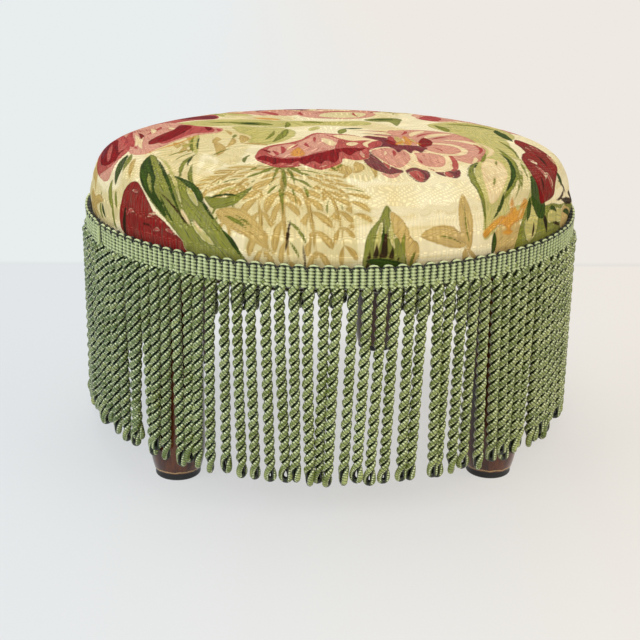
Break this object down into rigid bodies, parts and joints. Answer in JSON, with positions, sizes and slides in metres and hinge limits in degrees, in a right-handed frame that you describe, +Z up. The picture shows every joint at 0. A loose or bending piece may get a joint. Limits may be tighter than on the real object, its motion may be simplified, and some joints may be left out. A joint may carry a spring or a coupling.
{
  "type": "tuffet",
  "caption": "Round padded footstool: floral linen cushion on a wooden board, woven band with long twisted fringe, and short turned wooden legs on glides.",
  "frame": {"origin": "on the floor under the middle of the seat", "axes": "+Z up; the front is towards -Y; the two front legs stand on the diagonals"},
  "size_m": [0.3854, 0.3854, 0.231],
  "materials": {
    "plywood": "bare",
    "foam": "open-cell foam",
    "wadding": "fibrous",
    "printed_linen": "woven, floral print",
    "black_cambric": "thin non-woven",
    "band_braid": "woven, matt",
    "fringe_cord": "twisted, satin",
    "stained_wood": "dark stain, gloss",
    "black_glide": "moulded",
    "zinc_steel": "zinc plated"
  },
  "bodies": {
    "root": {"seat_board": "plywood", "foam_pad": "foam", "wadding": "wadding", "seat_cover": "printed_linen", "dust_cover": "black_cambric", "header_band": "band_braid", "fringe_front": "fringe_cord", "fringe_front_right": "fringe_cord", "fringe_right": "fringe_cord", "fringe_rear_right": "fringe_cord", "fringe_rear": "fringe_cord", "fringe_rear_left": "fringe_cord", "fringe_left": "fringe_cord", "fringe_front_left": "fringe_cord", "leg_front_left": "stained_wood", "leg_front_right": "stained_wood", "leg_rear_right": "stained_wood", "leg_rear_left": "stained_wood", "glide_front_left": "black_glide", "glide_front_right": "black_glide", "glide_rear_right": "black_glide", "glide_rear_left": "black_glide", "hanger_bolt_front_left": "zinc_steel", "hanger_bolt_front_right": "zinc_steel", "hanger_bolt_rear_right": "zinc_steel", "hanger_bolt_rear_left": "zinc_steel", "t_nut_front_left": "zinc_steel", "t_nut_front_right": "zinc_steel", "t_nut_rear_right": "zinc_steel", "t_nut_rear_left": "zinc_steel", "glide_nails": "zinc_steel", "cover_staples": "zinc_steel", "dust_cover_staples": "zinc_steel"}
  },
  "joints": []
}
